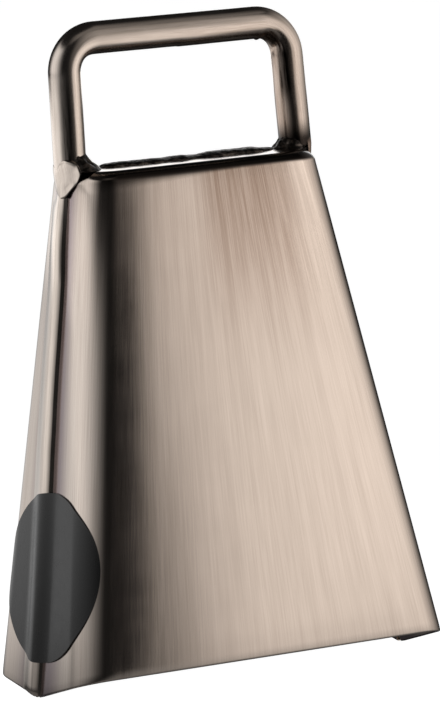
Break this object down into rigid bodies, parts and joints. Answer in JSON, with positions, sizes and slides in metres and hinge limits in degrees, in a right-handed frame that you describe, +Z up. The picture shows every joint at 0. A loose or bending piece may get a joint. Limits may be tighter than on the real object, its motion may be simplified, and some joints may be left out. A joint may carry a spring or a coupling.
{
  "type": "hand cowbell",
  "caption": "Hand-held cowbell: tapered bell of folded sheet steel welded along its sides and top, with a bent rod handle; struck with a stick.",
  "frame": {"origin": "middle of the mouth, at the height of the lowest points of its edge, which are the ends of the two side seams", "axes": "+Z up through the handle, +X to the right along the handle's bar, -Y out of the front face"},
  "size_m": [0.1074, 0.048, 0.1615],
  "materials": {
    "brushed_steel": "brushed along the taper, warm grey",
    "ground_weld": "weld metal ground smooth",
    "raw_weld": "rough weld metal, dark and unground",
    "black_vinyl": "satin black film"
  },
  "bodies": {
    "root": {"front_shell": "brushed_steel", "back_shell": "brushed_steel", "handle_rod": "brushed_steel", "left_seam_weld": "ground_weld", "right_seam_weld": "ground_weld", "left_toe_weld": "ground_weld", "right_toe_weld": "ground_weld", "top_seam_weld": "raw_weld", "left_leg_weld": "raw_weld", "right_leg_weld": "raw_weld", "side_label": "black_vinyl"}
  },
  "joints": []
}
